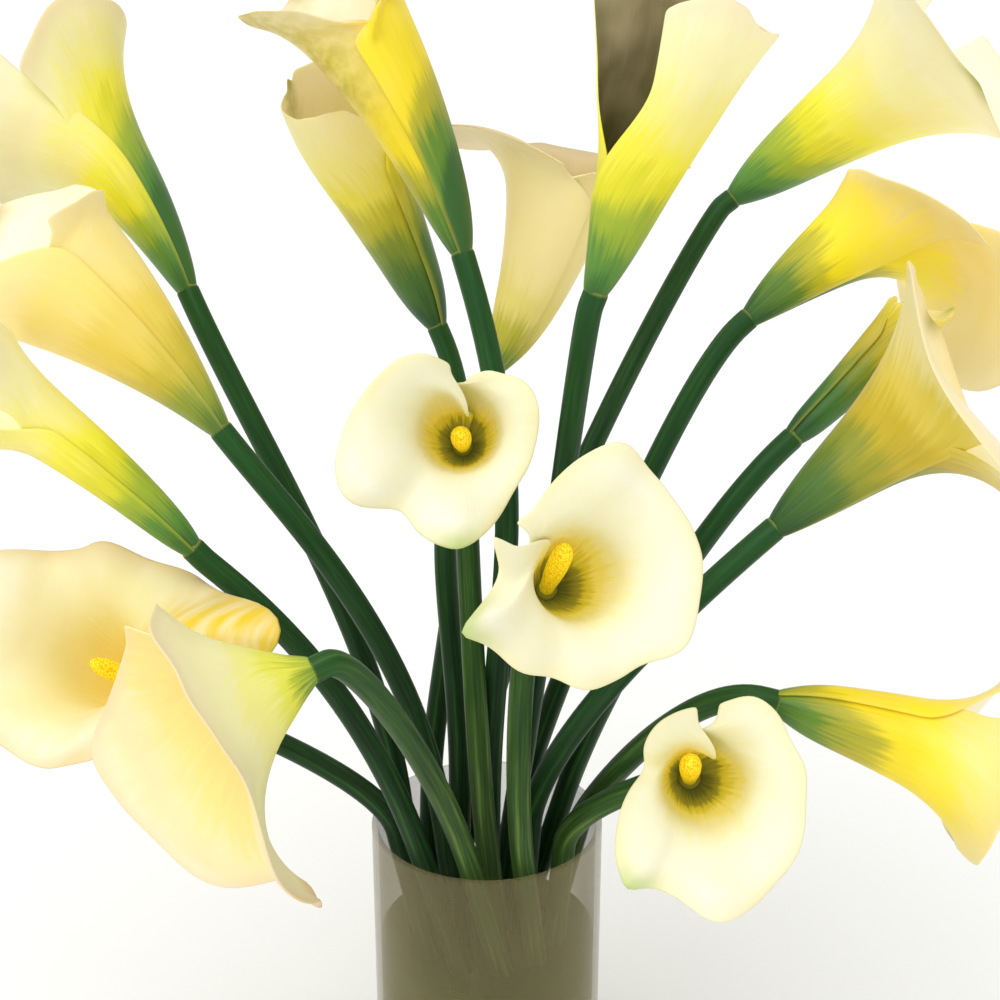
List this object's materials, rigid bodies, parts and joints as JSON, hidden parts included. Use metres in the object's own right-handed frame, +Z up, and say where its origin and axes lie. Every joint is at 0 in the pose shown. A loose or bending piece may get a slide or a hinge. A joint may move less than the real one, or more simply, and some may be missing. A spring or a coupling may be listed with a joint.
{
  "type": "calla lily bouquet in a glass vase",
  "caption": "Bunch of cut calla lilies with rolled cream spathes on green stems, fanning out of a straight glass cylinder vase of water that stands on a table.",
  "frame": {"origin": "centre of the vase's foot, on the surface that the vase stands on", "axes": "+Z up along the vase's axis, -Y towards the viewer of the picture, +X to that viewer's right"},
  "size_m": [0.7227, 0.551, 0.7886],
  "materials": {
    "vase_glass": "polished",
    "water": "polished",
    "stem": "satin",
    "spathe": "satin",
    "spadix": "matte"
  },
  "bodies": {
    "root": {"vase": "vase_glass", "water": "water", "flower_01_stem": "stem", "flower_01_spathe": "spathe", "flower_01_spadix": "spadix", "flower_02_stem": "stem", "flower_02_spathe": "spathe", "flower_02_spadix": "spadix", "flower_03_stem": "stem", "flower_03_spathe": "spathe", "flower_03_spadix": "spadix", "flower_04_stem": "stem", "flower_04_spathe": "spathe", "flower_04_spadix": "spadix", "flower_05_stem": "stem", "flower_05_spathe": "spathe", "flower_05_spadix": "spadix", "flower_06_stem": "stem", "flower_06_spathe": "spathe", "flower_06_spadix": "spadix", "flower_07_stem": "stem", "flower_07_spathe": "spathe", "flower_07_spadix": "spadix", "flower_08_stem": "stem", "flower_08_spathe": "spathe", "flower_08_spadix": "spadix", "flower_09_stem": "stem", "flower_09_spathe": "spathe", "flower_09_spadix": "spadix", "flower_10_stem": "stem", "flower_10_spathe": "spathe", "flower_10_spadix": "spadix", "flower_11_stem": "stem", "flower_11_spathe": "spathe", "flower_11_spadix": "spadix", "flower_12_stem": "stem", "flower_12_spathe": "spathe", "flower_12_spadix": "spadix", "flower_13_stem": "stem", "flower_13_spathe": "spathe", "flower_13_spadix": "spadix", "flower_14_stem": "stem", "flower_14_spathe": "spathe", "flower_14_spadix": "spadix", "flower_15_stem": "stem", "flower_15_spathe": "spathe", "flower_15_spadix": "spadix", "flower_16_stem": "stem", "flower_16_spathe": "spathe", "flower_16_spadix": "spadix", "flower_17_stem": "stem", "flower_17_spathe": "spathe", "flower_17_spadix": "spadix"}
  },
  "joints": []
}
